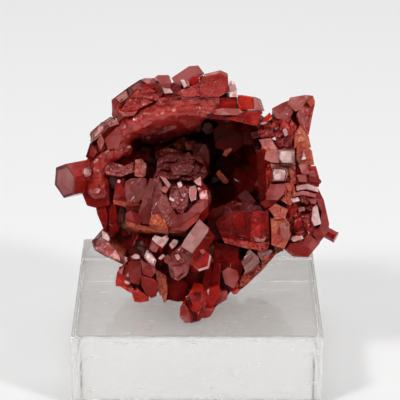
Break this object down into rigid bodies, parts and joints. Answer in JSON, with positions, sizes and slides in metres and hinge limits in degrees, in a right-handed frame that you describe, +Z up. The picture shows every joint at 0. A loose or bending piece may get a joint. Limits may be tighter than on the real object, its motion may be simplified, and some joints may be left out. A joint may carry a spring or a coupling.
{
  "type": "vanadinite on matrix",
  "caption": "Mineral specimen: blocky deep red hexagonal crystals round an open hollow in iron-stained rock, standing on a clear display block.",
  "frame": {"origin": "centre of the underside of the display block", "axes": "+Z up, -Y towards the side that the open hollow faces, +X to the right as seen from that side"},
  "size_m": [0.0365, 0.0318, 0.0394],
  "materials": {
    "vanadinite": "gloss",
    "stained_vanadinite": "satin",
    "hollow_vanadinite": "gloss",
    "matrix_rock": "matte",
    "clear_acrylic": "polished"
  },
  "bodies": {
    "root": {"display_block": "clear_acrylic", "matrix": "matrix_rock", "cavity_crust": "hollow_vanadinite", "canopy_crystals": "vanadinite", "crown_crystals": "vanadinite", "right_ear": "vanadinite", "right_column": "vanadinite", "hopper_crystal": "vanadinite", "stained_crystal": "stained_vanadinite", "red_shelf": "vanadinite", "central_crystal": "vanadinite", "left_wall_crystals": "vanadinite", "left_tablet": "vanadinite", "lower_left_leaf": "stained_vanadinite", "lower_crystals": "vanadinite", "leaning_crystal": "vanadinite", "small_hex_crystal": "vanadinite", "lower_right_crystals": "vanadinite", "bottom_tip": "vanadinite"}
  },
  "joints": []
}
